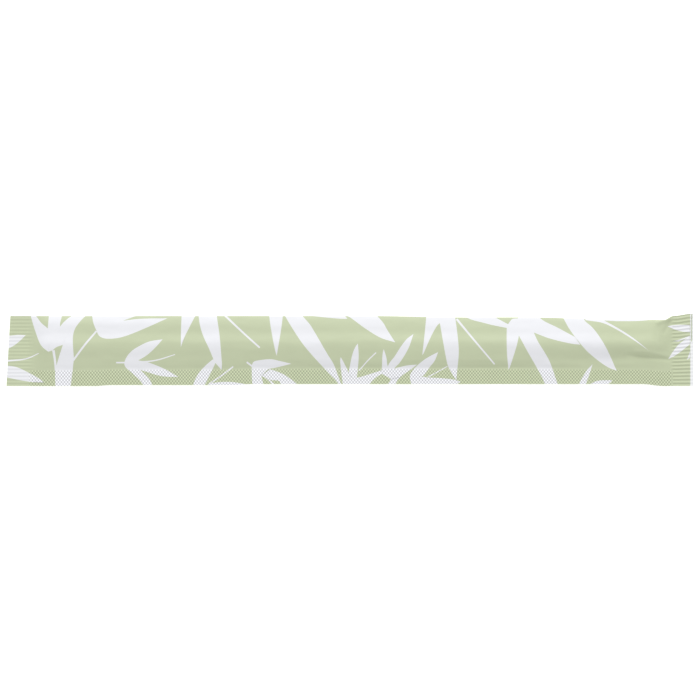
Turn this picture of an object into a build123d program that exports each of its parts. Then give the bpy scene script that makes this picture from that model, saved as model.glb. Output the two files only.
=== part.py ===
"""A sealed paper sleeve with a pair of bamboo chopsticks inside, lying on its back.

The sleeve is one web of paper, folded along its +Y edge, sealed along its -Y edge and crimped
shut at both ends. It can't be seen into, so sleeve and sticks are one solid: the outer shape of
the paper. The sticks' tips are at -X and their thicker butts at +X. Z is up and z = 0 is the
face that the pack lies on. All sizes are in millimetres.
"""

import os
from collections import namedtuple

from build123d import *

# The sleeve, laid flat
pack_length = 245.2  # from cut to cut, along the seam edge
flat_width = 25.0  # from the seam edge to the fold
paper = 0.08  # one ply
seam_width = 5.5  # the long seal along the -Y edge
tip_crimp = 8.2  # ribbed seal at the tips
butt_crimp = 6.9  # ribbed seal at the butts, where both plies meet
butt_lip = 1.0  # the back ply alone, past the butts' seal
tip_cut_slant = 1.4  # the cut at the tips leans back this far at the fold
butt_flare = 0.9  # the fold's corner stands out this far at the butts' cut
seal_height = 0.5  # underside of the seals, above the face it lies on

# The ribs of both crimps run along X
rib_pitch = 1.26
rib_rise = 0.12  # from a rib's middle line to its crest
land = 0.5  # flat strip between the ribs and the crimp's mouth

# The two sticks, side by side against the fold
tip_height = 3.3
butt_height = 5.0
fold_to_stick = 3.4  # from the fold's flat line to the first stick's top
stick_pitch = 6.4  # from one stick's top to the other's
tip_valley = 0.45  # how far the paper sinks between the sticks at the tips
butt_valley = 0.3
valley_reach = 2.5  # from the first stick's top to the valley's lowest line
side_run = 5.6  # from the second stick's top down to the foot of its slope
foot_share = 0.3  # height of that foot, as a share of the sticks' height
slack_share = 0.2  # of that foot's rise above the seal, halfway from it to the seal
back_reach = 4.2  # the back hangs this far past the second stick's top
back_sag = 0.1  # it would hang this much lower, if the table didn't press it flat

# How the filled sleeve draws in from its flat outline
tip_shoulder = 6.0  # length of the slope from the tips' crimp to the full section
butt_shoulder = 5.8
mouth_fill = 0.04  # fullness where the plies part at a crimp
shoulder_fill = 0.74  # fullness halfway along a shoulder, so that it rounds over
fold_draw_mid = 0.3
fold_draw_butt = 1.4
seam_draw_tip = 0.1
seam_draw_butt = 0.35
seam_draw_mid = 0.7
seam_full_draw = 74.0  # from the tips' shoulder to where the seam edge is drawn in fully
fold_even_run = 42.0  # the fold is drawn in evenly over this length before the butts
fold_taper_run = 68.0  # and eases to its draw at mid-length over this length

# Places that follow from them
left_cut = -pack_length / 2
right_cut = pack_length / 2
seam_edge = -(flat_width + butt_flare) / 2
fold_line = seam_edge + flat_width
chamber_start = left_cut + tip_crimp
chamber_end = right_cut - butt_lip - butt_crimp
full_start = chamber_start + tip_shoulder
full_end = chamber_end - butt_shoulder
first_stick = fold_line - fold_to_stick
second_stick = first_stick - stick_pitch
valley_line = first_stick - valley_reach
foot_line = second_stick - side_run
back_edge = second_stick - back_reach
seam_thickness = 2 * paper

Station = namedtuple("Station", "x fold_in seam_in fullness")


def stick_height(x):
    """Height of the sticks at x, on their straight taper from tip to butt."""
    share = (x - full_start) / (full_end - full_start)
    return tip_height + (butt_height - tip_height) * min(max(share, 0), 1)


def valley_depth(x):
    """Depth of the valley between the sticks at x."""
    share = (x - full_start) / (full_end - full_start)
    return tip_valley + (butt_valley - tip_valley) * min(max(share, 0), 1)


def sleeve_section(station):
    """The filled sleeve's section at a station."""
    seal_top = seal_height + seam_thickness
    crest = stick_height(station.x) + seam_thickness
    full = station.fullness

    def swell(height, flat=seal_top):
        """A height of the full section, eased down to the flat seal by the fullness."""
        return flat + full * (height - flat)

    seam = seam_edge + station.seam_in
    fold = fold_line - station.fold_in
    crease = swell(crest / 2 - paper, seal_height)
    back = swell(-back_sag, seal_height)
    foot = swell(crest * foot_share)
    slack_line = (foot_line + seam + seam_width) / 2
    with BuildSketch(Plane.YZ.offset(station.x)) as section:
        with BuildLine():
            Polyline(
                (seam, seal_top),
                (seam, seal_height),
                (seam + seam_width, seal_height),
                (back_edge, back),
                (first_stick, back),
                (fold, crease),
                (fold, crease + seam_thickness),
            )
            Spline(
                (fold, crease + seam_thickness),
                (first_stick, swell(crest)),
                (valley_line, swell(crest - valley_depth(station.x))),
                (second_stick, swell(crest)),
                (foot_line, foot),
                (slack_line, seal_top + slack_share * (foot - seal_top)),
                (seam + seam_width, seal_top),
            )
            Line((seam + seam_width, seal_top), (seam, seal_top))
        make_face()
    return section.sketch


def rib_line(lift):
    """Points on the crests and hollows of a ribbed ply, this far above its underside."""
    steps = 2 * int((flat_width + butt_flare) / rib_pitch) + 3
    return [
        (
            seam_edge + (step - 0.5) * rib_pitch / 2,
            seal_height + lift + rib_rise * (1 if step % 2 else -1),
        )
        for step in range(steps)
    ]


def crimp(outline, mouth, ribbed_strips):
    """A crimp cut to its outline in plan: ribbed strips, and a flat land beside its mouth.

    mouth is where the land starts along X. Each strip is where it starts, its length and its plies.
    """
    with BuildPart() as piece:
        with BuildSketch(Plane.YZ.offset(mouth)):
            with Locations((0, seal_height + seam_thickness / 2)):
                Rectangle(flat_width + butt_flare, seam_thickness)
        extrude(amount=land)
        for start, length, plies in ribbed_strips:
            with BuildSketch(Plane.YZ.offset(start)):
                with BuildLine():
                    underside = Spline(*rib_line(0))
                    upside = Spline(*rib_line(plies * paper))
                    Line(underside @ 0, upside @ 0)
                    Line(underside @ 1, upside @ 1)
                make_face()
            extrude(amount=length)
        with BuildSketch(Plane.XY):
            with BuildLine():
                Polyline(*outline, close=True)
            make_face()
        extrude(amount=butt_height, mode=Mode.INTERSECT)
    return piece.part


def shoulder_middle(start, end, fold_in, seam_in):
    """The station halfway along a shoulder."""
    return Station((start + end) / 2, fold_in / 2, seam_in / 2, shoulder_fill)


# Stations along the filled sleeve, from the tips to the butts
tip_stations = (
    Station(chamber_start, 0, 0, mouth_fill),
    shoulder_middle(chamber_start, full_start, 0, seam_draw_tip),
    Station(full_start, 0, seam_draw_tip, 1),
)
body_stations = (
    tip_stations[-1],
    Station(full_start + seam_full_draw, fold_draw_mid, seam_draw_mid, 1),
    Station(full_end - fold_even_run - fold_taper_run, fold_draw_mid, seam_draw_mid, 1),
    Station(full_end - fold_even_run, fold_draw_butt, seam_draw_mid, 1),
    Station(full_end, fold_draw_butt, seam_draw_butt, 1),
)
butt_stations = (
    body_stations[-1],
    shoulder_middle(full_end, chamber_end, fold_draw_butt, seam_draw_butt),
    Station(chamber_end, 0, 0, mouth_fill),
)

# The tips' cut slants, and the fold's corner flares at the butts' cut
tip_end = crimp(
    outline=(
        (left_cut, seam_edge),
        (chamber_start, seam_edge),
        (chamber_start, fold_line),
        (left_cut + tip_cut_slant, fold_line),
    ),
    mouth=chamber_start - land,
    ribbed_strips=[(left_cut, tip_crimp - land, 2)],
)
butt_end = crimp(
    outline=(
        (chamber_end, seam_edge),
        (right_cut, seam_edge),
        (right_cut, fold_line + butt_flare),
        (chamber_end, fold_line),
    ),
    mouth=chamber_end,
    ribbed_strips=[
        (chamber_end + land, butt_crimp - land, 2),
        (right_cut - butt_lip, butt_lip, 1),
    ],
)

with BuildPart() as chopstick_pack:
    for stations in (tip_stations, body_stations, butt_stations):
        loft([sleeve_section(station) for station in stations])
    split(bisect_by=Plane.XY, keep=Keep.TOP)
    add(tip_end)
    add(butt_end)

chopstick_pack.part.label = "chopstick_pack"

os.makedirs("parts", exist_ok=True)
export_step(chopstick_pack.part, "parts/chopstick_pack.step")
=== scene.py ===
"""The looks of a paper-wrapped pair of bamboo chopsticks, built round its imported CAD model.

One web of thin paper, printed pale green with bare white bamboo leaves, is folded along +Y,
knurled shut along -Y and crimped with ribs at both ends. The web is modelled unfolded: x runs
along the pack, and t runs across the front ply from the seam edge to the fold, then on across
the back ply to its own seam edge. Lengths are in millimetres until the mesh is made.
"""

import math

import bmesh
import bpy
import numpy as np
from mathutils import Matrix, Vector, kdtree, noise
from mathutils.geometry import delaunay_2d_cdt


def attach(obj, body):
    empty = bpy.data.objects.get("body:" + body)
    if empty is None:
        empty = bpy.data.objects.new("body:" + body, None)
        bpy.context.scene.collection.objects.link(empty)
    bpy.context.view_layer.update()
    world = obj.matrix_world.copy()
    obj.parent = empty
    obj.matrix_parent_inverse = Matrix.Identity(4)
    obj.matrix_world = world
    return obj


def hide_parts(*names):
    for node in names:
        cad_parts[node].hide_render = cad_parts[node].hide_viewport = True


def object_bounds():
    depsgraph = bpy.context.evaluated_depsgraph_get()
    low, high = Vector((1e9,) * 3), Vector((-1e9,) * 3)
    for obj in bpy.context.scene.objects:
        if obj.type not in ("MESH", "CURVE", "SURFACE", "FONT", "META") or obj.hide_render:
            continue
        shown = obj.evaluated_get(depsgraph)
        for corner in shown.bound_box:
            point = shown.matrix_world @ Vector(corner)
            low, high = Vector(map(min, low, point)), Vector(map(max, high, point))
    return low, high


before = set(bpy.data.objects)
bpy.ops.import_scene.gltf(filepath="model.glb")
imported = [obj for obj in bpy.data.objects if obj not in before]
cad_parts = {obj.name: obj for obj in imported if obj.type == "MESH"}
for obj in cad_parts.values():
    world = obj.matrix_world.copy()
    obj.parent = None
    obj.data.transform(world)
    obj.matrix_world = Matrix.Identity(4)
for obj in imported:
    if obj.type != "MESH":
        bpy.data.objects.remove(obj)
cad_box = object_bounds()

MM = 0.001

# ---------------------------------------------------------------- sizes of the sleeve

left_cut, seam_edge = cad_box[0].x / MM, cad_box[0].y / MM
right_cut = cad_box[1].x / MM
flat_width, ply = 25.0, 0.08
fold_line = seam_edge + flat_width
web_end = fold_line + flat_width
fold_turn = 0.12  # the width of web that turns over, to each side of the fold
tip_cut_slant = 1.4  # the tips' cut leans back this far at the fold
seam_width = 5.5
seal_height = 0.5  # the sealed plies' lower face, above the floor

# The crimps, and the chamber between them that the sticks fill
tip_crimp, butt_crimp = 8.2, 6.9
butt_lip, lip_overcut = 1.0, 0.2  # the front ply is cut back a little past the lip's inner line
lip_step = 0.02
chamber_start = left_cut + tip_crimp
chamber_end = right_cut - butt_lip - butt_crimp
lip_start = right_cut - butt_lip - lip_overcut
tip_shoulder, butt_shoulder = 6.0, 5.8
full_start = chamber_start + tip_shoulder
full_end = chamber_end - butt_shoulder

# The sticks under the paper, and the lines that the paper follows beside them
tip_height, butt_height = 3.3, 5.0
first_stick = fold_line - 3.4
second_stick = first_stick - 6.4
valley_line = first_stick - 2.5
foot_line = second_stick - 5.6
back_edge = second_stick - 4.2

# How far the paper lies below the second stick's crest, at the tips and at the butts: in the
# valley, over the first stick, and at the foot of the slope to the seam
valley_drop = (0.6, 1.05)
first_drop = (0.62, 1.65)
foot_drop = (0.95, 2.0)
foot_sinks_from, foot_sinks_to = 45.0, 100.0

# Between the crimps the long edges spring up to this share of the crest's height
edge_share = 0.48

# What the sealing rolls press into the paper
rib_pitch, tip_rib_rise, butt_rib_rise = 1.26, 0.055, 0.14
knurl_pitch_x, knurl_pitch_t, knurl_rise = 1.1, 1.32, 0.18
painted_hollow_shade = 0.8  # painted shade: from a hollow to a tip, the knurl's colour gains this share of the plain colour, so each hollow is painted darker as if in shade

# How the filled sleeve's long edges wander in plan: from one x to another, the edge moves by a step
FOLD_STEPS = (
    (5.0, 42.0, -0.5),
    (62.0, 94.0, -0.65),
    (92.0, 108.0, -0.25),
    (111.9, 115.5, 1.45),
    (115.5, right_cut, 0.85),
)
SEAM_STEPS = (
    (-91.0, -85.0, 0.35),
    (-43.0, -34.0, 0.35),
    (104.0, 112.0, -0.7),
)


def ease(start, end, x):
    """From 0 at start to 1 at end, smooth at both."""
    s = np.clip((x - start) / (end - start), 0.0, 1.0)
    return s * s * (3 - 2 * s)


def wander(steps, x):
    """The sum of the steps that an edge has taken by x."""
    return sum(step * ease(start, end, x) for start, end, step in steps)


def fold_edge(x):
    """The fold's place in plan."""
    return fold_line + wander(FOLD_STEPS, x)


def seam_line(x):
    """The seam edge's place in plan."""
    return seam_edge + wander(SEAM_STEPS, x)


def left_edge(across):
    """The slanted cut at the tips' end, at a distance from the seam edge."""
    return left_cut + tip_cut_slant * across / flat_width


def across_from_web(t):
    """The distance from the seam edge, for a place on either ply."""
    return np.where(t > fold_line, web_end - t, t - seam_edge)


def plan_from_web(x, t):
    """Where a place on the web lies in plan. The fold turns over in a tight half round."""
    from_fold = np.abs(t - fold_line)
    turned = ply * (1 - np.cos(np.clip(from_fold / fold_turn, 0, 1) * np.pi / 2))
    width = fold_edge(x) - seam_line(x)
    straight = np.clip(from_fold - fold_turn, 0, None) * (width - ply) / (flat_width - fold_turn)
    return fold_edge(x) - turned - straight


def web_from_plan(x, y):
    """The web's t for a place on the front in plan. Past the fold it runs on across the back."""
    seam, fold = seam_line(x), fold_edge(x)
    front = seam_edge + (y - seam) * flat_width / (fold - seam)
    return np.where(y > fold, fold_line + (y - fold), front)


# ---------------------------------------------------------------- the form of the filled sleeve


def fullness(x):
    """From nearly 0 in the crimps to 1 where the sticks fill the sleeve."""
    tips = ease(chamber_start - 0.8, chamber_start + tip_shoulder + 1, x)
    butts = ease(chamber_end + 0.8, chamber_end - butt_shoulder - 2, x)
    return tips * butts


def along_sticks(x):
    """From 0 at the tips to 1 at the butts."""
    return np.clip((x - full_start) / (full_end - full_start), 0, 1)


def crest_height(x):
    """The paper's height on top of the sticks."""
    return tip_height + (butt_height - tip_height) * along_sticks(x) + 2 * ply


def edge_height(x):
    """The height of both long edges' lower face: between the crimps they spring up."""
    return seal_height + fullness(x) * (crest_height(x) * edge_share - seal_height)


def curve_through(knots, y):
    """Heights at y on a smooth curve through knots, with no overshoot between them.

    knots is a list of (y, height) from low to high y, with a value for each vertex.
    """
    ys = np.array([np.broadcast_to(k[0], y.shape) for k in knots])
    zs = np.array([np.broadcast_to(k[1], y.shape) for k in knots])
    gaps = np.diff(ys, axis=0)
    slopes = np.diff(zs, axis=0) / gaps
    same_way = slopes[:-1] * slopes[1:] > 0
    total = np.where(same_way, slopes[:-1] + slopes[1:], 1)
    inner = np.where(same_way, 2 * slopes[:-1] * slopes[1:] / total, 0)
    tangents = np.concatenate([0 * slopes[:1], inner, slopes[-1:] * 1.5])
    heights = zs[0].copy()
    for i, gap in enumerate(gaps):
        s = np.clip((y - ys[i]) / gap, 0, 1)
        here = (
            (1 + 2 * s) * (1 - s) ** 2 * zs[i]
            + s * (1 - s) ** 2 * gap * tangents[i]
            + s * s * (3 - 2 * s) * zs[i + 1]
            - s * s * (1 - s) * gap * tangents[i + 1]
        )
        heights = np.where(y >= ys[i], here, heights)
    return heights


def front_form(x, y):
    """The front ply's outer face, before ribs, knurl and creases."""
    full, crest = fullness(x), crest_height(x)
    rest = seal_height + 2 * ply
    seal_top = edge_height(x) + 2 * ply
    seal_start = seam_line(x) + seam_width
    share = along_sticks(x)

    def below_crest(drop, share):
        return rest + full * (crest - drop[0] - (drop[1] - drop[0]) * share - rest)

    foot = below_crest(foot_drop, ease(foot_sinks_from, foot_sinks_to, x))
    knots = [
        (seal_start, seal_top),
        ((seal_start + foot_line) / 2, (foot + seal_top) / 2),
        (foot_line, foot),
        (second_stick, rest + full * (crest - rest)),
        (valley_line, below_crest(valley_drop, share)),
        (first_stick, below_crest(first_drop, share)),
        (fold_edge(x), edge_height(x) + 2 * ply),
    ]
    return curve_through(knots, y)


def back_form(x, y):
    """The back ply's outer face: flat under the sticks, rising to the fold and to the seals."""
    flat = seal_height * (1 - fullness(x))
    seal_start = seam_line(x) + seam_width
    to_seam = np.clip((back_edge - y) / (back_edge - seal_start), 0, 1)
    to_fold = np.clip((y - first_stick) / (fold_edge(x) - first_stick), 0, 1)
    return flat + (edge_height(x) - flat) * (to_seam**1.5 + to_fold**1.7)


def rib_height(x):
    """The ribs' height in the two crimps, fading to 0 past their mouths."""
    tips = tip_rib_rise * (1 - ease(chamber_start - 0.6, chamber_start + 2.4, x))
    butts = butt_rib_rise * ease(chamber_end - 0.6, chamber_end + 1.3, x)
    return (tips + butts) * (1 - 0.7 * ease(lip_start - 0.2, lip_start + 0.3, x))


def in_seam(x, across):
    """1 in the knurled seam, fading to 0 at its ends and at its inner border."""
    length = ease(chamber_start - 1.2, chamber_start + 1.5, x)
    length = length * (1 - ease(chamber_end - 0.8, chamber_end + 1.2, x))
    return length * (1 - ease(seam_width - 0.35, seam_width + 0.1, across))


def knurl(x, t):
    """The knurl's rows of points, from -1 in a hollow to 1 on a tip, and 0 outside the seam."""
    across = across_from_web(t)
    points = np.cos(2 * np.pi * x / knurl_pitch_x) * np.cos(2 * np.pi * across / knurl_pitch_t)
    return points * in_seam(x, across)


def pressed_relief(x, t):
    """Ribs and knurl. Both plies are pressed together, so both carry the same relief."""
    ribs = rib_height(x) * np.cos(2 * np.pi * across_from_web(t) / rib_pitch)
    return ribs + knurl_rise * knurl(x, t)


# Soft creases in the front ply: points in plan, rise (below 0 for a valley) and width
CREASES = (
    (((98.0, -1.8), (105.0, -2.5), (110.0, -3.0), (115.5, -3.9)), -0.4, 0.75),
    (((100.0, -0.5), (107.0, -1.0), (114.0, -2.3)), 0.25, 0.9),
    (((108.5, 9.4), (112.5, 10.7), (115.8, 12.1)), 0.55, 0.9),
    (((115.0, 10.2), (113.4, 8.6), (111.4, 5.2)), -0.3, 0.9),
    (((110.2, 6.4), (109.6, 3.0), (110.4, -0.5)), 0.12, 0.7),
)


def along_path(path, x, y):
    """Each place's distance to a path of straight runs, and how far along it lies, from 0 to 1."""
    points = np.array(path)
    runs = np.hypot(*np.diff(points, axis=0).T)
    nearest = np.full(x.shape, 1e6)
    fraction = np.zeros(x.shape)
    for i, run in enumerate(runs):
        step = (points[i + 1] - points[i]) / run
        s = np.clip((x - points[i][0]) * step[0] + (y - points[i][1]) * step[1], 0, run)
        away = np.hypot(x - points[i][0] - s * step[0], y - points[i][1] - s * step[1])
        here = away < nearest
        nearest = np.where(here, away, nearest)
        fraction = np.where(here, (runs[:i].sum() + s) / runs.sum(), fraction)
    return nearest, fraction


def creases(x, y):
    """The creases of the front ply, each fading towards its ends."""
    rise = np.zeros(x.shape)
    for path, peak, width in CREASES:
        away, fraction = along_path(path, x, y)
        rise += peak * np.exp(-((away / width) ** 2)) * (1 - (2 * fraction - 1) ** 4)
    return rise * ease(chamber_end + 1.2, chamber_end - 0.8, x)


def slack(x, t, full):
    """The paper's slight waviness where no stick holds it taut."""
    waves = [
        noise.noise(Vector((px / 9, pt / 3.5, 0.3)))
        + 0.4 * noise.noise(Vector((px / 3.5, pt / 2, 4)))
        for px, pt in zip(x, t)
    ]
    return 0.1 * np.array(waves) * full


def sleeve_heights(x, y, t):
    """Every vertex's height: the two plies' outer faces, joined round the fold."""
    relief, full = pressed_relief(x, t), fullness(x)
    across = across_from_web(t)
    free = ease(seam_width - 1, seam_width + 2, across) * ease(0, 1.5, np.abs(t - fold_line))
    waves = slack(x, t, full) * free
    front = front_form(x, y) + relief + creases(x, y) + waves
    back = np.maximum(back_form(x, y) + relief * (1 - full * ease(8, 12, across)), 0)
    middle = edge_height(x) + ply + relief
    turn = np.sin(np.clip(np.abs(t - fold_line) / fold_turn, 0, 1) * np.pi / 2)
    return middle + (np.where(t > fold_line, back, front) - middle) * turn


def outward(x, t):
    """The sleeve's outward directions, worked out from its form a hair's breadth to each side."""
    step = 0.02

    def place(x, t):
        y = plan_from_web(x, t)
        return np.column_stack([x, y, sleeve_heights(x, y, t)])

    here = place(x, t)
    normal = np.cross(place(x + step, t) - here, place(x, t + step) - here)
    return normal / np.linalg.norm(normal, axis=1)[:, None]


# ---------------------------------------------------------------- the printed bamboo

# Each leaf is a list of sides, and each side is a smooth curve through its points in plan. The
# sides are joined by straight lines. A leaf that runs off the fold goes on across the back.

TIP_CRIMP_LEAVES = (
    (((-122.2, 0.2), (-120, 1.4), (-117.6, 3.3), (-115.7, 5.2)), ((-118.5, 5.3), (-122.2, 4.9))),
    (((-122.8, -5.6), (-119, -6.2), (-115, -8), (-111, -10.2), (-109, -11.7)),
     ((-113, -11.6), (-117, -11), (-122.8, -9.8))),
)

TRUNK_SPRIG = (
    (((-114, 12.3), (-112.2, 6.5), (-110, 1.5), (-107.4, -0.8)),
     ((-106.9, 2.5), (-107.5, 7.2), (-110, 9.5), (-112.2, 12.3))),
    (((-107.3, 12.3), (-107.7, 7.3), (-108.3, 3), (-107.3, -0.7)),
     ((-105.9, -0.2), (-104.5, 0.9), (-102.2, 1.7)),
     ((-101, 5), (-103.2, 8.2), (-102.6, 12.3))),
    (((-98.8, 12.3), (-101, 10.7), (-103.2, 8.2), (-104, 5), (-102.2, 1.7)),
     ((-102.2, 1.7), (-103.8, -3), (-105, -7.5), (-105, -13.4)),
     ((-99.6, -13.4), (-98.7, -6), (-98.4, -3.4), (-98.6, 5), (-97.8, 7.7), (-95.8, 10.4), (-94, 12.3))),
)

LEFT_SPRIGS = (
    (((-92, 12.4), (-91.4, 9.5), (-90.4, 7), (-89.3, 4.9), (-87.3, 4), (-83, 4.1), (-79.5, 5),
      (-73, 7.6), (-65, 11.2)),
     ((-70, 11.15), (-76, 10.9), (-80.9, 10.3)),
     ((-78.5, 11.2), (-75.3, 12.4))),
    (((-73, -13.4), (-75, -10.8), (-78, -8), (-80, -6.2), (-80.4, -4.9), (-79.5, -2.5), (-77.5, -0.3),
      (-75, 1.3), (-71.5, 2.9), (-66.7, 3.7)),
     ((-66.7, 3.7), (-68.5, 1.6), (-70.7, -0.6), (-73, -2.4), (-75.6, -3.9)),
     ((-74.9, -7.1), (-73.3, -8.6), (-71.5, -10.5), (-70.1, -13.4))),
    (((-76.5, -3.6), (-72, -4.5), (-66, -6.9), (-61.2, -9.7)),
     ((-61.2, -9.7), (-65.5, -9.6), (-69, -9), (-72, -8), (-74.9, -7.1), (-76.5, -6))),
    (((-60, 12.3), (-60.2, 6), (-60.2, 0.9)), ((-58.7, 5), (-56, 10.3), (-55, 12.3))),
    (((-54, 12.3), (-53.5, 9), (-52.5, 5.5), (-50, 0), (-48.7, -3.2), (-47.9, -4.7), (-45.7, -7.3)),
     ((-45.6, -5), (-46.3, 4), (-47.5, 12.3))),
    (((-48.7, -3.3), (-51, -5.2), (-53.5, -7.8), (-55, -10.2), (-56.2, -13.4)),
     ((-52.2, -13.4), (-50.3, -9.6), (-49, -7), (-47.9, -4.7))),
    (((-50.5, -12.1), (-46, -11.5), (-42, -11.5), (-37.5, -12.2)), ((-37.5, -13.4), (-50.5, -13.4))),
)

MIDDLE_SPRIGS = (
    (((-35, -5.4), (-34.3, -4.3), (-32, -3.7), (-28, -3.4), (-25, -4), (-20.9, -5)),
     ((-24, -5.8), (-27, -6.5), (-29, -6.9), (-31.6, -9.3)),
     ((-31.6, -9.3), (-30.6, -13.4)),
     ((-34.7, -13.4), (-35, -9), (-35, -5.4))),
    (((-31.6, -9.3), (-28.2, -10.8), (-25.2, -11.2), (-24.4, -13.4)),
     ((-17.5, -13.4), (-20.5, -10.9), (-24, -8.6), (-28.5, -6.9))),
    (((-30.6, -9.9), (-28.6, -11.4), (-27.3, -13.4)), ((-26, -13.4), (-28, -11.2), (-30.6, -9.9))),
    (((-28.8, 12.3), (-28.4, 9), (-26.7, 0), (-26.1, -2.2)), ((-25.7, 0), (-24.4, 8), (-23.9, 12.3))),
    (((-23.3, 12.3), (-21.5, 9.2), (-16.3, 1.4), (-8, -7.9), (-5, -11), (-3.5, -13.4)),
     ((-2.7, -13.4), (-3.8, -10.5), (-5.9, -5), (-8, -1.6), (-12.6, 6.3), (-14.3, 9), (-17.2, 12.3))),
    (((-13.4, 12), (-8, 11.4), (-3, 11), (-0.9, 11)), ((-1.6, 11.8), (-2.2, 12.3))),
    (((-1.6, 12.3), (0, 11.5), (5.5, 7.5), (11, 4.2), (16.1, 2.6)),
     ((15.2, 4), (13.3, 7), (11.8, 9.6), (9.4, 12.3))),
    (((-3.3, -2.6), (-3.5, -3.5), (-3.1, -8), (-2.4, -13.4)),
     ((-0.5, -13.4), (-0.5, -8.4), (-2, -5), (-3.3, -2.6))),
    (((2.8, 2.2), (1.9, 1), (0.9, -1.5), (0.1, -5), (-0.5, -8.4), (-1, -13.4)),
     ((1.5, -13.4), (2.5, -9.3), (2.9, -5.5), (3.1, -2), (2.8, 2.2))),
    (((1, -9.6), (2.6, -9.9), (6, -9), (11.9, -7.1)),
     ((11.5, -8.5), (9.5, -9.7), (7.8, -11.2), (6.4, -13.4)),
     ((-1, -13.4), (-1, -9))),
    (((12, 0.3), (11.6, -1.5), (11.3, -7), (11, -8.4)),
     ((11, -8.4), (13.2, -9.6), (14.6, -10.6)),
     ((16, -9), (13.5, -6), (13, -3), (12, 0.3))),
    (((22.6, 5.6), (20.3, 3.9), (18.3, 1.4), (16, -2.2), (13.5, -6), (14.6, -10.6)),
     ((18.2, -9.5), (15.9, -6.9), (17.8, -4.5), (20.8, 0.5), (22.6, 5.6))),
    (((23.9, -5.3), (21, -5.5), (18.5, -6), (15.9, -6.9), (14.6, -10.6), (12.4, -13.4)),
     ((16, -13.4), (16.8, -11), (18.2, -9.5), (21.7, -7), (23.9, -5.3))),
)

RIGHT_SPRIGS = (
    (((31.4, -0.8), (29, -2), (26.5, -3.5), (24.2, -5.4), (22, -7.9), (21.3, -9.5), (22.2, -13.4)),
     ((24, -13.4), (24.5, -9.7), (26, -9.3), (28.4, -6.2), (30.1, -4), (31.4, -0.8))),
    (((21.5, -13.4), (24.5, -9.7), (28, -9.9), (32, -10.1), (36.8, -10.6), (39.4, -11.4)),
     ((39.4, -11.4), (36.5, -13.4))),
    (((27.2, 12.3), (26.8, 8), (25.7, -1.9)), ((26.2, -1.2), (29, 5), (31, 8.5), (32, 9.5)),
     ((32, 9.5), (32.4, 7), (34, -2), (35, -6), (37.9, -11)),
     ((38, -9.5), (38.7, -1), (38.4, 4), (37.4, 12.3))),
    (((40.2, 12.3), (43, 10.8), (47, 9.7), (51, 8.7), (56, 7.7)),
     ((56.4, 9), (54, 10.3), (51.8, 11.6), (51.5, 12.3))),
    (((55.8, 7.8), (55.7, 3), (55.9, -2), (56.5, -7.3)),
     ((57.2, -5.5), (59.3, 1.5), (60.1, 5)),
     ((60.1, 5), (62.5, 0.5), (66.6, -6.5), (68.4, -9.8), (69.9, -13.4)),
     ((74.4, -13.4), (73.5, -10.8), (71, -4), (66.8, 3), (65.4, 6.1)),
     ((65.4, 6.1), (71, 4), (79, 2.1), (81.9, 1.8)),
     ((80, 4.5), (74, 7.8), (68.5, 10.6), (66.8, 12.3)),
     ((60, 12.3), (60, 11.3), (57.8, 10.9), (56.2, 9))),
    (((75.5, 12.3), (78, 7.5), (82.7, 1.2), (86, -2), (92, -6.3), (95.2, -7.5)),
     ((94.7, -6.8), (92, -1), (88.5, 5), (86, 8.2), (83.6, 10.4), (83, 12.3))),
    (((83.9, 10.5), (90, 9.5), (95, 7.1), (100, 4), (106.5, -0.5)),
     ((106.5, -0.5), (100, 4.7), (95, 7.9), (90.5, 10.4)),
     ((95, 10.15), (102, 10.2), (106.5, 10.55)),
     ((106.5, 10.55), (95, 12.3), (83.5, 12.3))),
    (((86.4, -5.2), (84.5, -7.2), (83, -9.5), (81, -13.4)), ((83.6, -13.4), (85.2, -9), (86.4, -5.2))),
    (((85.1, -12.5), (88, -11.1), (93.4, -10.8)), ((93, -11.5), (90.3, -13.4), (86, -13.4))),
)

BUTT_CRIMP_LEAVES = (
    (((113.3, 8.3), (115, 8.7), (118, 8.9), (121.3, 8.8)), ((121.3, 6.2), (118.3, 6.5), (115.5, 7.3))),
    (((113.8, 2.7), (117.2, 3.5), (121.3, 5)), ((121.3, 4.7), (117.4, 2.9))),
    (((113.5, -3.4), (115, -1), (117, 1.6), (119, 3.3), (121.3, 5)),
     ((121.3, 2), (120, 0.9), (118, -0.7), (115.6, -2.4))),
    (((120.2, -3.6), (121, -1.5), (121.3, -0.5)), ((121.3, -3), (120.2, -3.6))),
)

# The rim of green ink that shows on the lip beside the fold
LIP_RIM = ((121.75, 2.9), (122.05, 2.9), (122.1, 13), (121.8, 13))

# Each stem is a smooth line through its points, with its width at the start and at the end
STEMS = (
    (((-122.6, -4), (-117, -3.5), (-114.5, -2.9), (-111, -1.3)), 0.6, 0.3),
    (((-105.6, -0.2), (-105.1, -4), (-104.9, -7.5)), 0.9, 0.7),
    (((-98.6, -3.8), (-94.5, 1.6), (-90.3, 6.6)), 0.7, 0.65),
    (((-83.3, -4.6), (-79.8, -4.6)), 0.55, 0.55),
    (((-76, -4.3), (-72, -4.2), (-68, -3.5), (-62.3, -1.7)), 0.6, 0.3),
    (((-44.7, 12.3), (-38, 6), (-32.1, 0.7)), 0.7, 0.6),
    (((-41.6, -6), (-45.5, -9), (-50, -12.1)), 0.5, 0.5),
    (((-36.8, -4.4), (-34.5, -6.2)), 0.6, 0.6),
    (((9.3, -1), (6.5, -3.7), (3.2, -7.5)), 0.4, 0.4),
    (((34.7, -5.9), (31, -8), (27.8, -9.7)), 0.3, 0.4),
    (((38, 10.9), (44.5, 3), (51.5, -5.2)), 0.75, 0.5),
)

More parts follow.
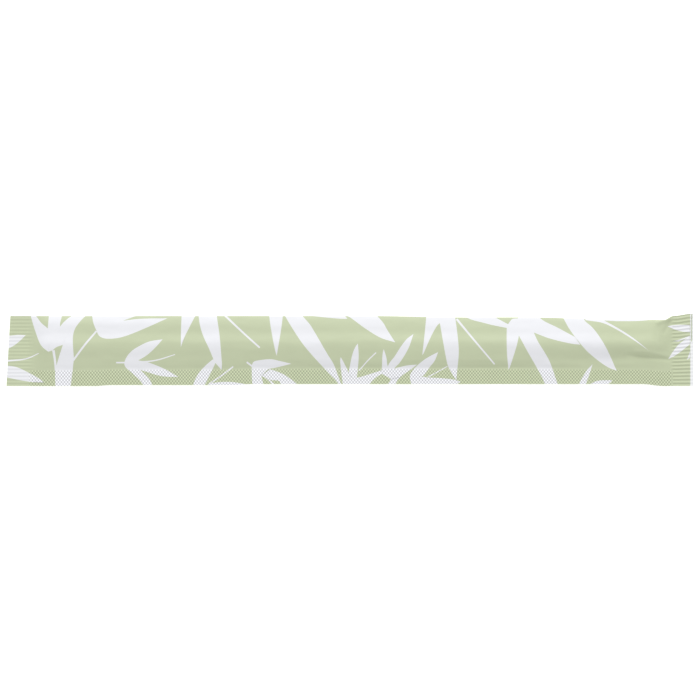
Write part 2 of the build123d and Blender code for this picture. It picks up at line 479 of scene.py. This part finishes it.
# Where leaves run over the fold: from one x to another, how far they reach onto the back, and how
# far they lean towards the butts for each mm of that reach
OVER_THE_FOLD = (
    (-114.0, -112.2, 3.0, -0.4),
    (-107.4, -102.6, 9.0, -0.2),
    (-98.8, -94.0, 12.0, 0.3),
    (-92.2, -75.3, 7.5, 0.9),
    (-60.1, -55.0, 9.0, 0.4),
    (-54.0, -47.5, 13.0, -0.3),
    (-28.8, -23.9, 8.0, -0.5),
    (-23.2, -17.2, 11.0, -0.7),
    (-1.6, 9.4, 6.0, -0.8),
    (27.2, 37.4, 9.0, 0.2),
    (40.2, 51.5, 6.5, -0.6),
    (60.0, 66.8, 12.0, 0.4),
    (75.5, 83.0, 10.0, -0.4),
    (83.5, 95.0, 4.0, -1.0),
)

# The sprigs on the back ply: their places on the web and the way they point, in degrees
BACK_SPRIGS = (
    (-112.0, 26.0, 20), (-86.0, 31.0, -160), (-70.0, 26.0, 35), (-40.0, 22.0, -20),
    (-34.0, 33.0, 170), (-8.0, 30.0, 15), (20.0, 25.0, -150), (49.0, 31.0, 25),
    (74.0, 28.0, -10), (108.0, 24.0, 165),
)


def smooth_side(points, spacing=0.35):
    """A smooth curve through a side's points, as places about a spacing apart."""
    ends = [2 * Vector(points[0]) - Vector(points[1]), 2 * Vector(points[-1]) - Vector(points[-2])]
    knots = [ends[0]] + [Vector(p) for p in points] + [ends[1]]
    places = []
    for a, b, c, d in zip(knots, knots[1:], knots[2:], knots[3:]):
        chords = ((a, b), (b, c), (c, d))
        before, here, after = (max(math.sqrt((q - p).length), 1e-6) for p, q in chords)
        leave = (c - b) / here - (c - a) / (before + here) + (b - a) / before
        arrive = (d - c) / after - (d - b) / (here + after) + (c - b) / here
        leave, arrive = leave * here, arrive * here
        steps = max(1, math.ceil((c - b).length / spacing))
        for s in (k / steps for k in range(steps)):
            place = (2 * s**3 - 3 * s**2 + 1) * b + (s**3 - 2 * s**2 + s) * leave
            place += (3 * s**2 - 2 * s**3) * c + (s**3 - s**2) * arrive
            places.append(place)
    return places + [Vector(points[-1])]


def on_web(places):
    """Places in plan, moved onto the unfolded web."""
    return [(p.x, float(web_from_plan(p.x, p.y))) for p in places]


def stem_outline(points, start_width, end_width):
    """Both sides of a thin stem."""
    middle = smooth_side(points)
    left, right = [], []
    for i, place in enumerate(middle):
        way = (middle[min(i + 1, len(middle) - 1)] - middle[max(i - 1, 0)]).normalized()
        share = i / (len(middle) - 1)
        half = (start_width + (end_width - start_width) * share) / 2
        sideways = Vector((-way.y, way.x)) * half
        left.append(place + sideways)
        right.append(place - sideways)
    return left + right[::-1]


def pointed_leaf(root, tip, width, bow):
    """A leaf on the web from its root to its point, widest a third of the way, bowed to one side."""
    root, tip = Vector(root), Vector(tip)
    way = (tip - root).normalized()
    sideways = Vector((-way.y, way.x))
    steps = max(6, math.ceil((tip - root).length / 0.7))
    left, right = [], []
    for s in (k / steps for k in range(steps + 1)):
        middle = root.lerp(tip, s) + sideways * bow * math.sin(math.pi * s)
        half = width / 2 * (0.12 + math.sin(math.pi * s**0.65)) * (1 - s**6)
        left.append(middle + sideways * half)
        right.append(middle - sideways * half)
    return [tuple(p) for p in left + right[:0:-1]]


def back_outlines():
    """The back ply's leaves: those that come over the fold, and sprigs of three."""
    outlines = []
    near = fold_line + 0.1
    for start, end, reach, lean in OVER_THE_FOLD:
        point = ((start + end) / 2 + lean * reach, fold_line + reach)
        belly_t, belly_lean = fold_line + reach * 0.45, lean * reach * 0.35
        near_side = smooth_side([(start, near), (start * 0.8 + end * 0.2 + belly_lean, belly_t), point])
        far_side = smooth_side([point, (start * 0.2 + end * 0.8 + belly_lean, belly_t), (end, near)])
        outlines.append([tuple(p) for p in near_side + far_side])
    for x, t, heading in BACK_SPRIGS:
        for turn, length, width in ((-38, 11, 2.6), (2, 15, 3.4), (40, 10, 2.8)):
            angle = math.radians(heading + turn)
            tip = (x + length * math.cos(angle), t + length * math.sin(angle) * 0.7)
            outlines.append(pointed_leaf((x, t), tip, width, turn / 60))
    return outlines


def printed_outlines():
    """Every bare white shape on the web."""
    leaves = TIP_CRIMP_LEAVES + TRUNK_SPRIG + LEFT_SPRIGS + MIDDLE_SPRIGS + RIGHT_SPRIGS
    outlines = []
    for sides in leaves + BUTT_CRIMP_LEAVES:
        outlines.append(on_web([p for side in sides for p in smooth_side(side)]))
    for points, start_width, end_width in STEMS:
        outlines.append(on_web(stem_outline(points, start_width, end_width)))
    outlines.append(on_web([Vector(p) for p in LIP_RIM]))
    return outlines + back_outlines()


# ---------------------------------------------------------------- the sleeve's mesh

# How closely the mesh's points stand where the rolls press and along both seam edges
rib_step = rib_pitch / 8
front_seam_step, back_seam_step = 0.22, 0.28

# From here to the butts' mouth the front is creased and gets closer points
creased_from = 95.7

# Two points nearer than this are one place
TOUCHING = 1e-4

GREEN_INK, BARE_PAPER, INNER_FACE, CUT_EDGE = range(4)


def evenly(start, end, spacing):
    """Values from start to end, both included, about a spacing apart."""
    return np.linspace(start, end, max(1, round(abs(end - start) / spacing)) + 1)


def web_border():
    """The outline of the whole web, anticlockwise from the tips' end of the front seam edge."""
    front_seam = [(x, seam_edge) for x in evenly(left_cut, right_cut, front_seam_step)]
    across = evenly(0, flat_width, rib_step)
    right = [(right_cut, seam_edge + a) for a in across[1:]]
    right += [(right_cut, web_end - a) for a in across[::-1][1:]]
    back_seam = [(x, web_end) for x in evenly(right_cut, left_cut, back_seam_step)[1:]]
    left = [(left_edge(a), web_end - a) for a in across[1:]]
    left += [(left_edge(a), seam_edge + a) for a in across[::-1][1:-1]]
    return front_seam + right + back_seam + left


def web_lines():
    """The lines that the mesh has to follow: the fold's turn and the step down to the lip."""
    lines = []
    for t in (fold_line - fold_turn, fold_line, fold_line + fold_turn):
        start = left_edge(across_from_web(t))
        lines.append([(x, t) for x in evenly(start, right_cut, 0.5)])
    for x in (lip_start, lip_start + lip_step):
        lines.append([(x, t) for t in evenly(seam_edge, fold_line, rib_step)])
    return lines


def patch(x_start, x_end, t_start, t_end, x_step, t_step):
    """Staggered rows of points over one patch of the web, each with its spacing."""
    rows = []
    for n, t in enumerate(evenly(t_start, t_end, t_step)):
        xs = np.arange(x_start + (n % 2) * x_step / 2, x_end, x_step)
        spacing = np.full(xs.shape, min(x_step, t_step))
        rows.append(np.column_stack([xs, np.full(xs.shape, t), spacing]))
    return np.vstack(rows)


def web_points():
    """The points between the lines: fine where the rolls press, coarser elsewhere."""
    tips, butts = chamber_start - 1.2, chamber_end + 1.2
    ribs_end, ribs_start = tips + 3.6, butts - 2.2
    band, back_band = seam_edge + seam_width, web_end - seam_width
    front = [
        patch(tips, butts, seam_edge, band, knurl_pitch_x / 6, knurl_pitch_t / 6),
        patch(left_cut, tips, seam_edge, fold_line, 0.4, rib_step),
        patch(tips, ribs_end, band + rib_step, fold_line, 0.4, rib_step),
        patch(ribs_end + 0.2, creased_from - 0.1, band + 0.3, fold_line, 0.5, 0.45),
        patch(creased_from + 0.1, ribs_start - 0.2, band + 0.2, fold_line, 0.32, 0.32),
        patch(ribs_start, butts, band + rib_step, fold_line, 0.4, rib_step),
        patch(butts, right_cut, seam_edge, fold_line, 0.4, rib_step),
    ]
    back = [
        patch(tips, butts, back_band, web_end, knurl_pitch_x / 4, knurl_pitch_t / 4),
        patch(left_cut, tips, fold_line, web_end, 0.5, rib_step),
        patch(tips, ribs_end, fold_line, back_band - rib_step, 0.5, rib_step),
        patch(ribs_end + 0.4, ribs_start - 0.4, fold_line, back_band - 0.4, 1.0, 0.8),
        patch(ribs_start, butts, fold_line, back_band - rib_step, 0.5, rib_step),
        patch(butts, right_cut, fold_line, web_end, 0.5, rib_step),
    ]
    return np.vstack(front + back)


def free_points(points, lines):
    """The points that lie on the web and stand clear of its border, its lines and the outlines."""
    tree = kdtree.KDTree(len(lines))
    for i, (x, t) in enumerate(lines):
        tree.insert((x, t, 0), i)
    tree.balance()
    inside = points[:, 0] > left_edge(across_from_web(points[:, 1])) + 0.1
    kept = []
    for x, t, spacing in points[inside]:
        if tree.find((x, t, 0))[2] > 0.45 * spacing:
            kept.append((x, t))
    return kept


def zip_together(front, back, key):
    """Triangles between two rows of vertices, both in the order of their keys."""
    i = j = 0
    triangles = []
    while i < len(front) - 1 or j < len(back) - 1:
        ahead = j == len(back) - 1
        ahead = ahead or (i < len(front) - 1 and key[front[i + 1]] <= key[back[j + 1]])
        new = front[i + 1] if ahead else back[j + 1]
        triangle = (front[i], back[j], new)
        if len(set(triangle)) == 3:
            triangles.append(triangle)
        i, j = (i + 1, j) if ahead else (i, j + 1)
    return triangles


def cut_edges(x, t, triangles):
    """The walls that join the two plies along the seam edge and at both cuts."""
    ends = np.array(triangles)
    sides = np.sort(np.vstack([ends[:, [0, 1]], ends[:, [1, 2]], ends[:, [2, 0]]]), axis=1)
    edges, uses = np.unique(sides, axis=0, return_counts=True)
    border = np.unique(edges[uses == 1])
    across = across_from_web(t)

    def row(chosen, key):
        members = border[chosen[border]]
        return list(members[np.argsort(key[members], kind="stable")])

    left = np.abs(x - left_edge(across)) < TOUCHING
    right = np.abs(x - right_cut) < TOUCHING
    front, back = t <= fold_line + TOUCHING, t >= fold_line - TOUCHING
    seams = [np.abs(t - edge) < TOUCHING for edge in (seam_edge, web_end)]
    walls = zip_together(row(seams[0], x), row(seams[1], x), x)
    walls += zip_together(row(left & front, across), row(left & back, across), across)
    walls += zip_together(row(right & front, across), row(right & back, across), across)
    return walls


def within(outline, x, t):
    """Which places lie within an outline, found by counting the sides beyond each of them."""
    corners = np.array(outline)
    low, high = corners.min(axis=0), corners.max(axis=0)
    near = np.flatnonzero((x > low[0]) & (x < high[0]) & (t > low[1]) & (t < high[1]))
    odd = np.zeros(near.shape, bool)
    for (x0, t0), (x1, t1) in zip(corners, np.roll(corners, -1, axis=0)):
        if t0 != t1:
            level = (t0 > t[near]) != (t1 > t[near])
            odd ^= level & (x[near] < x0 + (t[near] - t0) * (x1 - x0) / (t1 - t0))
    found = np.zeros(x.shape, bool)
    found[near] = odd
    return found


def cut_web():
    """The unfolded web in triangles, with every printed outline cut into it.

    Returns the vertices' x and t, the triangles, and whether each one is bare of ink.
    """
    vertices, edges = web_border(), []
    border = list(range(len(vertices)))
    outlines = printed_outlines()
    for line in web_lines() + [outline + outline[:1] for outline in outlines]:
        edges += [(i, i + 1) for i in range(len(vertices), len(vertices) + len(line) - 1)]
        vertices += line
    vertices += free_points(web_points(), vertices)
    flat = [Vector((float(x), float(t))) for x, t in vertices]
    places, _, triangles, _, _, owners = delaunay_2d_cdt(flat, edges, [border], 1, 1e-6, True)
    kept = [triangle for triangle, owner in zip(triangles, owners) if owner]
    used, corners = np.unique(kept, return_inverse=True)
    corners = corners.reshape(-1, 3)
    x, t = np.array([places[i] for i in used]).T
    bare = np.zeros(len(corners), bool)
    for outline in outlines:
        bare |= within(outline, x[corners].mean(axis=1), t[corners].mean(axis=1))
    return x, t, corners.tolist(), bare


def unwrap(mesh, x, t):
    """A UV map of the web in two bands, tips and butts, with the cut edges above them."""
    gap, rows = 1.0, 2 * (2 * flat_width + 2)
    side = right_cut + 2 * gap + 2
    uv = mesh.uv_layers.new(name="OFBake")
    corners = np.empty(len(mesh.loops), dtype=np.int32)
    mesh.loops.foreach_get("vertex_index", corners)
    of_face = np.repeat(np.arange(len(mesh.polygons)), 3)
    slots = np.empty(len(mesh.polygons), dtype=np.int32)
    mesh.polygons.foreach_get("material_index", slots)
    middles = x[corners].reshape(-1, 3).mean(axis=1)
    butts = (middles > 0)[of_face]
    wall = (slots == CUT_EDGE)[of_face]
    u = x[corners] + np.where(butts, 0, right_cut) + gap
    v = t[corners] - seam_edge + gap + np.where(butts, rows / 2, 0)
    from_seam = across_from_web(t[corners])
    band = rows + 2 + 2 * (t[corners] > fold_line) + np.where(butts, 6, 0)
    v = np.where(wall, band + from_seam * 0.1, v)
    uv.data.foreach_set("uv", np.column_stack([u, v]).ravel() / side)


def printed_slots(x, t, triangles, bare):
    """Each triangle's finish. Past the front ply's cut, the lip shows the back ply's inner face."""
    corners = np.array(triangles)
    on_lip = x[corners].mean(axis=1) > lip_start + lip_step / 2
    on_lip &= t[corners].mean(axis=1) < fold_line
    slots = np.where(bare, BARE_PAPER, GREEN_INK)
    return np.where(on_lip, np.where(bare, GREEN_INK, INNER_FACE), slots)


def sharpen_cut_edges(mesh):
    """Faces the whole mesh outward, and makes it sharp where a wall meets a printed face."""
    faces = bmesh.new()
    faces.from_mesh(mesh)
    bmesh.ops.recalc_face_normals(faces, faces=faces.faces)
    for edge in faces.edges:
        kinds = [face.material_index == CUT_EDGE for face in edge.link_faces]
        edge.smooth = len(set(kinds)) == 1
    faces.to_mesh(mesh)
    faces.free()


def make_sleeve(materials):
    """The whole wrapped pack as one closed mesh."""
    x, t, triangles, bare = cut_web()
    y = plan_from_web(x, t)
    step_down = ply * ease(lip_start, lip_start + lip_step, x) * (t < fold_line - fold_turn / 2)
    z = sleeve_heights(x, y, t) - step_down
    walls = cut_edges(x, t, triangles)
    printed = printed_slots(x, t, triangles, bare)
    slots = np.concatenate([printed, np.full(len(walls), CUT_EDGE)])

    mesh = bpy.data.meshes.new("paper_sleeve")
    mesh.from_pydata(np.column_stack([x, y, z]) * MM, [], triangles + walls)
    # The knurl's relief from hollow (0) to tip (1): the mask for the shade painted into each hollow of
    # the knurl
    pressed = mesh.attributes.new("pressed", "FLOAT", "POINT")
    pressed.data.foreach_set("value", 0.5 + 0.5 * knurl(x, t))
    for material in materials:
        mesh.materials.append(material)
    mesh.polygons.foreach_set("material_index", slots.astype(np.int32))
    mesh.polygons.foreach_set("use_smooth", [True] * len(mesh.polygons))
    unwrap(mesh, x, t)
    sharpen_cut_edges(mesh)

    corners = np.empty(len(mesh.loops), dtype=np.int32)
    mesh.loops.foreach_get("vertex_index", corners)
    on_wall = np.repeat(slots == CUT_EDGE, 3)
    normals = np.where(on_wall[:, None], 0, outward(x, t)[corners])
    mesh.normals_split_custom_set(normals.tolist())

    sleeve = bpy.data.objects.new("paper_sleeve", mesh)
    bpy.context.scene.collection.objects.link(sleeve)
    return sleeve


# ---------------------------------------------------------------- paper and ink

# How far the paper's roughness drifts with its cloudiness, and how high a fibre stands
cloudiness = 0.08
fibre_height = 0.02


def new_group(name, inputs, outputs):
    """A shader node group with its sockets, each given as (name, type, default)."""
    group = bpy.data.node_groups.new(name, "ShaderNodeTree")
    for label, kind, default in inputs:
        group.interface.new_socket(label, in_out="INPUT", socket_type=kind).default_value = default
    for label, kind in outputs:
        group.interface.new_socket(label, in_out="OUTPUT", socket_type=kind)
    return group, group.nodes.new("NodeGroupInput"), group.nodes.new("NodeGroupOutput")


def paper_fibre():
    """Short fibres lying mostly along the pack, and the cloudiness of thin paper."""
    group, given, made = new_group(
        "paper fibre",
        [
            ("Fibres per metre", "NodeSocketFloat", 1800.0),
            ("Clouds per metre", "NodeSocketFloat", 150.0),
        ],
        [("Height", "NodeSocketFloat"), ("Cloud", "NodeSocketFloat")],
    )
    nodes, link = group.nodes, group.links.new
    place = nodes.new("ShaderNodeTexCoord")
    drawn = nodes.new("ShaderNodeMapping")
    drawn.inputs["Scale"].default_value = (0.35, 1, 1)
    fibres = nodes.new("ShaderNodeTexNoise")
    fibres.inputs["Detail"].default_value = 3
    clouds = nodes.new("ShaderNodeTexNoise")
    clouds.inputs["Detail"].default_value = 2
    link(place.outputs["Object"], drawn.inputs["Vector"])
    link(drawn.outputs["Vector"], fibres.inputs["Vector"])
    link(given.outputs["Fibres per metre"], fibres.inputs["Scale"])
    link(place.outputs["Object"], clouds.inputs["Vector"])
    link(given.outputs["Clouds per metre"], clouds.inputs["Scale"])
    link(fibres.outputs["Fac"], made.inputs["Height"])
    link(clouds.outputs["Fac"], made.inputs["Cloud"])
    return group


def uneven_colour():
    """A colour that lightens where a mask is above a half and darkens where it is below."""
    group, given, made = new_group(
        "uneven colour",
        [
            ("Colour", "NodeSocketColor", (0.5, 0.5, 0.5, 1)),
            ("Mask", "NodeSocketFloat", 0.5),
            ("Amount", "NodeSocketFloat", 0.05),
        ],
        [("Colour", "NodeSocketColor")],
    )
    nodes, link = group.nodes, group.links.new
    centred = nodes.new("ShaderNodeMath")
    centred.operation = "SUBTRACT"
    centred.inputs[1].default_value = 0.5
    gain = nodes.new("ShaderNodeMath")
    gain.operation = "MULTIPLY_ADD"
    gain.inputs[2].default_value = 1.0
    tinted = nodes.new("ShaderNodeVectorMath")
    tinted.operation = "SCALE"
    link(given.outputs["Mask"], centred.inputs[0])
    link(centred.outputs["Value"], gain.inputs[0])
    link(given.outputs["Amount"], gain.inputs[1])
    link(given.outputs["Colour"], tinted.inputs["Vector"])
    link(gain.outputs["Value"], tinted.inputs["Scale"])
    link(tinted.outputs["Vector"], made.inputs["Colour"])
    return group


def paper_material(name, groups, colour, unevenness, shine, roughness, grain):
    """Thin paper in one colour: cloudy, faintly fibrous, and painted darker in each hollow of the knurl
    as shade.
    """
    material = bpy.data.materials.new(name)
    material.use_nodes = True
    nodes, link = material.node_tree.nodes, material.node_tree.links.new
    shader = nodes["Principled BSDF"]
    shader.inputs["IOR"].default_value = 1.45
    shader.inputs["Specular IOR Level"].default_value = shine
    fibre = nodes.new("ShaderNodeGroup")
    fibre.node_tree = groups["fibre"]
    uneven = nodes.new("ShaderNodeGroup")
    uneven.node_tree = groups["uneven"]
    uneven.inputs["Colour"].default_value = (*colour, 1)
    uneven.inputs["Amount"].default_value = unevenness
    # Painted shade: the base colour is darkened in each hollow of the knurl, by the mask stored on the
    # mesh
    pressed = nodes.new("ShaderNodeAttribute")
    pressed.attribute_name = "pressed"
    hollow_shade = nodes.new("ShaderNodeGroup")
    hollow_shade.node_tree = groups["uneven"]
    hollow_shade.inputs["Amount"].default_value = painted_hollow_shade
    rough = nodes.new("ShaderNodeMapRange")
    rough.inputs["To Min"].default_value = roughness - cloudiness
    rough.inputs["To Max"].default_value = roughness + cloudiness
    bump = nodes.new("ShaderNodeBump")
    bump.inputs["Strength"].default_value = grain
    bump.inputs["Distance"].default_value = fibre_height * MM
    link(fibre.outputs["Cloud"], uneven.inputs["Mask"])
    link(pressed.outputs["Fac"], hollow_shade.inputs["Mask"])
    link(uneven.outputs["Colour"], hollow_shade.inputs["Colour"])
    link(hollow_shade.outputs["Colour"], shader.inputs["Base Color"])
    link(fibre.outputs["Cloud"], rough.inputs["Value"])
    link(rough.outputs["Result"], shader.inputs["Roughness"])
    link(fibre.outputs["Height"], bump.inputs["Height"])
    link(bump.outputs["Normal"], shader.inputs["Normal"])
    return material


def sleeve_materials():
    """The sleeve's finishes, in the order of their slots."""
    groups = {"fibre": paper_fibre(), "uneven": uneven_colour()}
    return [
        paper_material("pale green ink", groups, (0.496, 0.548, 0.372), 0.06, 0.35, 0.5, 0.5),
        paper_material("bare white paper", groups, (0.753, 0.760, 0.789), 0.03, 0.05, 0.65, 0.5),
        paper_material("inner face of the paper", groups, (0.78, 0.79, 0.80), 0.05, 0.05, 0.7, 0.8),
        paper_material("cut edge of the paper", groups, (0.72, 0.74, 0.70), 0.08, 0.05, 0.7, 1.0),
    ]


# ---------------------------------------------------------------- the studio


def make_floor():
    """A plain white sweep, level under the pack."""
    mesh = bpy.data.meshes.new("floor")
    half = 1.5
    corners = [(-half, -half, 0), (half, -half, 0), (half, half, 0), (-half, half, 0)]
    mesh.from_pydata(corners, [], [(0, 1, 2, 3)])
    white = bpy.data.materials.new("matte white floor")
    white.use_nodes = True
    shader = white.node_tree.nodes["Principled BSDF"]
    shader.inputs["Base Color"].default_value = (0.96, 0.96, 0.96, 1)
    shader.inputs["Roughness"].default_value = 0.9
    shader.inputs["Specular IOR Level"].default_value = 0.0
    shader.inputs["Emission Color"].default_value = (1, 1, 1, 1)
    shader.inputs["Emission Strength"].default_value = 0.4
    mesh.materials.append(white)
    floor = bpy.data.objects.new("floor", mesh)
    bpy.context.scene.collection.objects.link(floor)
    return floor


def light_studio():
    """An even white surround, and one broad low light from beyond the fold."""
    world = bpy.data.worlds.new("even surround")
    world.use_nodes = True
    background = world.node_tree.nodes["Background"]
    background.inputs["Color"].default_value = (1, 1, 1, 1)
    background.inputs["Strength"].default_value = 0.875
    bpy.context.scene.world = world

    distance, elevation = 1.5, math.radians(33)
    lamp = bpy.data.lights.new("broad low light", "AREA")
    lamp.shape = "RECTANGLE"
    lamp.size, lamp.size_y = 1.0, 0.5
    lamp.energy = 10.5
    lit = bpy.data.objects.new("broad low light", lamp)
    lit.location = (0, distance * math.cos(elevation), distance * math.sin(elevation))
    lit.rotation_euler = (-lit.location).to_track_quat("-Z", "Y").to_euler()
    bpy.context.scene.collection.objects.link(lit)


def set_camera():
    """A camera straight above the pack, which fills most of the frame's width."""
    height, frame_width, aim_y = 1.2, 249.9 * MM, -0.09 * MM
    camera = bpy.data.cameras.new("camera")
    camera.sensor_width = 36
    camera.lens = camera.sensor_width * height / frame_width
    camera.clip_start, camera.clip_end = 0.01, 20
    seen_from = bpy.data.objects.new("camera", camera)
    seen_from.location = (0, aim_y, height)
    bpy.context.scene.collection.objects.link(seen_from)
    bpy.context.scene.camera = seen_from
    bpy.context.scene.view_settings.view_transform = "Standard"


# ---------------------------------------------------------------- putting it together

sleeve = make_sleeve(sleeve_materials())
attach(sleeve, "root")
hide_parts("chopstick_pack")
make_floor()
light_studio()
set_camera()
